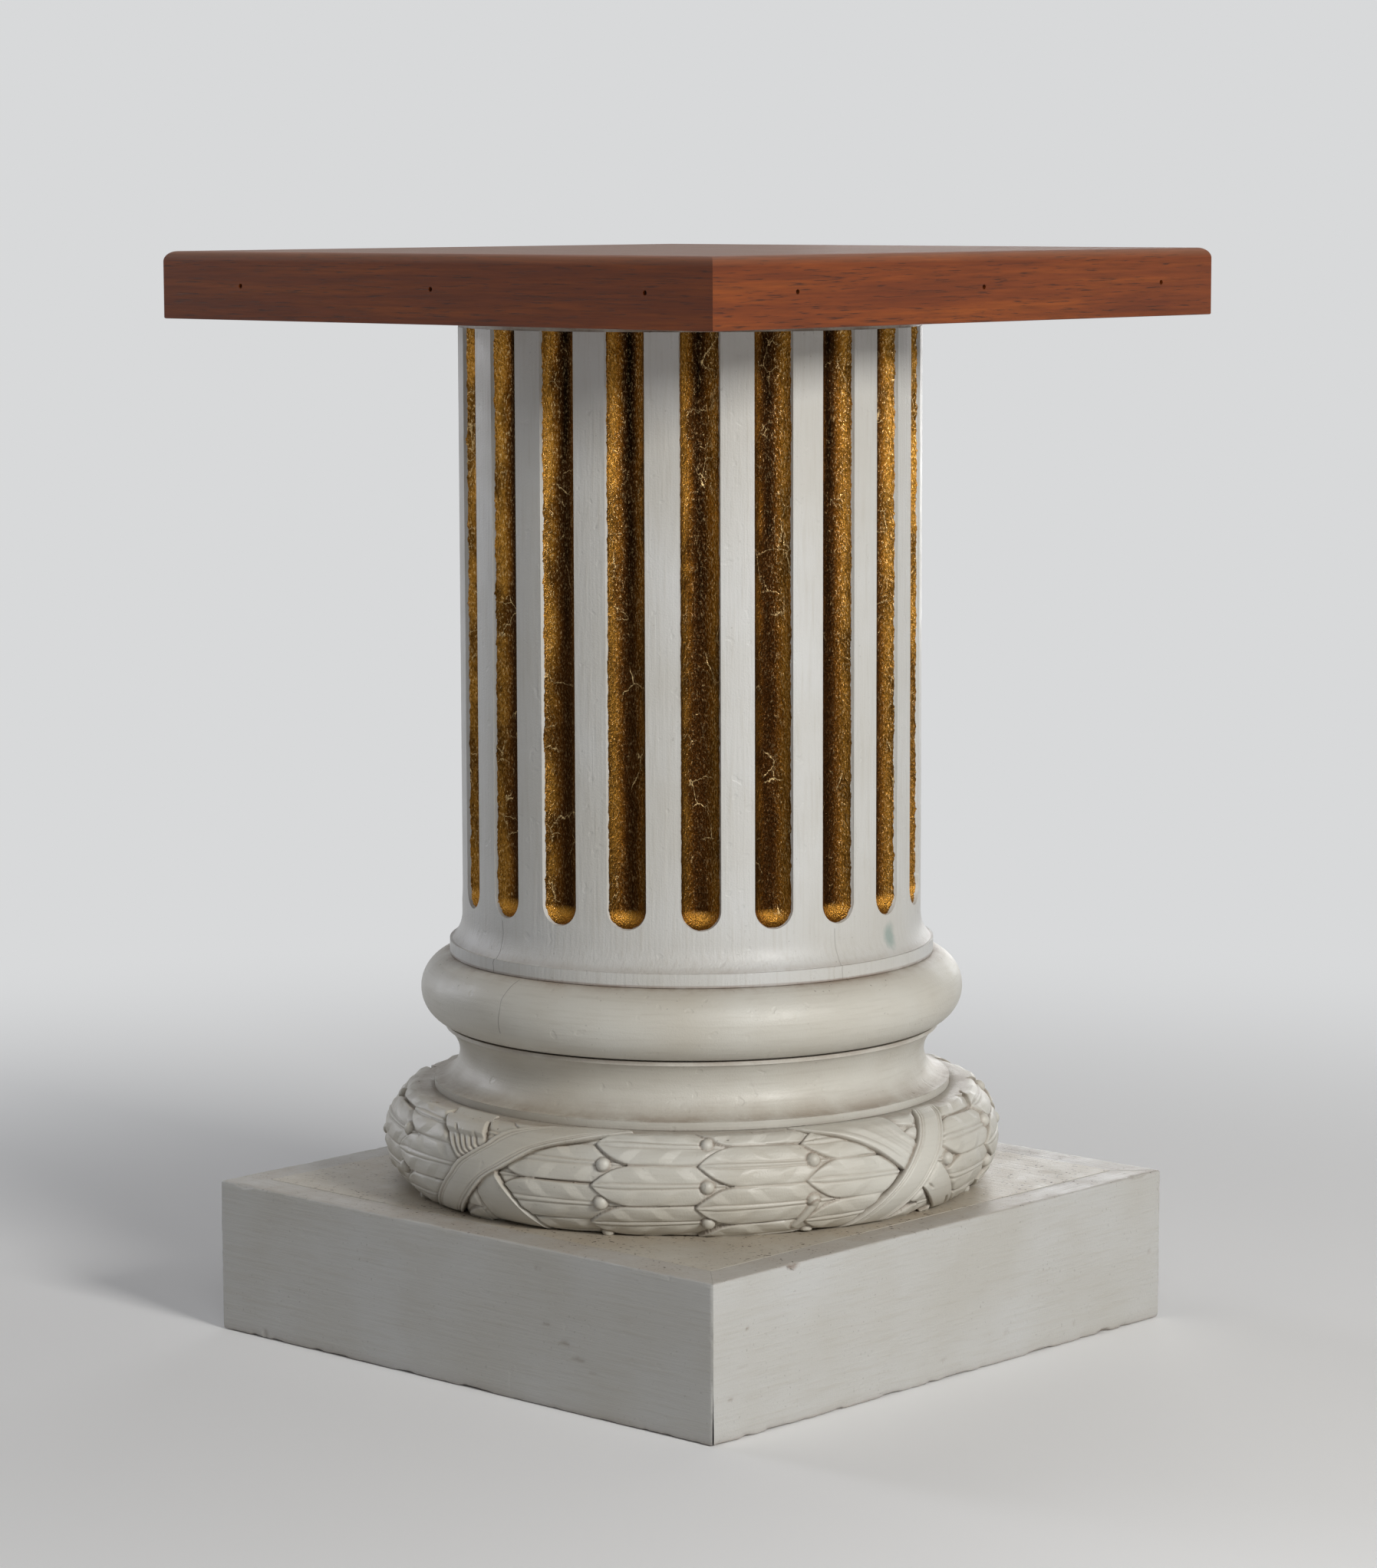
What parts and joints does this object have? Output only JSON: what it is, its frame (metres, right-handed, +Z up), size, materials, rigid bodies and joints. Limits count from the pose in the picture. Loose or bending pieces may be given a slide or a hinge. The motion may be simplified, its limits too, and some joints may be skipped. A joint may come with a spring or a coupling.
{
  "type": "pedestal column stand",
  "caption": "Square-topped column stand: fluted gilded shaft on a turned base with a carved laurel wreath and a square plinth, for holding a bust or vase.",
  "frame": {"origin": "on the floor under the middle of the square plinth", "axes": "+Z up along the shaft's axis; the plinth's and the top's sides are square to X and Y"},
  "size_m": [0.5, 0.5, 0.74],
  "materials": {
    "top_wood": "satin",
    "lipping_wood": "satin",
    "iron_nail": "matte",
    "gilt_painted_wood": "satin",
    "painted_wood": "satin",
    "carved_painted_wood": "satin",
    "raw_wood": "matte",
    "screw_steel": "satin"
  },
  "bodies": {
    "root": {"top_panel": "top_wood", "top_lipping_1": "lipping_wood", "top_lipping_2": "lipping_wood", "top_lipping_3": "lipping_wood", "top_lipping_4": "lipping_wood", "lipping_nails": "iron_nail", "shaft_stave_1": "gilt_painted_wood", "shaft_stave_2": "gilt_painted_wood", "shaft_stave_3": "gilt_painted_wood", "shaft_stave_4": "gilt_painted_wood", "shaft_stave_5": "gilt_painted_wood", "shaft_stave_6": "gilt_painted_wood", "shaft_stave_7": "gilt_painted_wood", "shaft_stave_8": "gilt_painted_wood", "head_plate": "painted_wood", "head_block": "raw_wood", "top_screws": "screw_steel", "foot_block": "raw_wood", "foot_screws": "screw_steel", "torus_quadrant_1": "painted_wood", "torus_quadrant_2": "painted_wood", "torus_quadrant_3": "painted_wood", "torus_quadrant_4": "painted_wood", "scotia_disc": "painted_wood", "laurel_garland_1": "carved_painted_wood", "laurel_garland_2": "carved_painted_wood", "laurel_garland_3": "carved_painted_wood", "laurel_garland_4": "carved_painted_wood", "ribbon_tie_1": "carved_painted_wood", "ribbon_tie_2": "carved_painted_wood", "ribbon_tie_3": "carved_painted_wood", "ribbon_tie_4": "carved_painted_wood", "plinth_side_1": "painted_wood", "plinth_side_2": "painted_wood", "plinth_side_3": "painted_wood", "plinth_side_4": "painted_wood", "plinth_deck": "painted_wood", "plinth_corner_blocks": "raw_wood", "deck_screws": "screw_steel"}
  },
  "joints": []
}
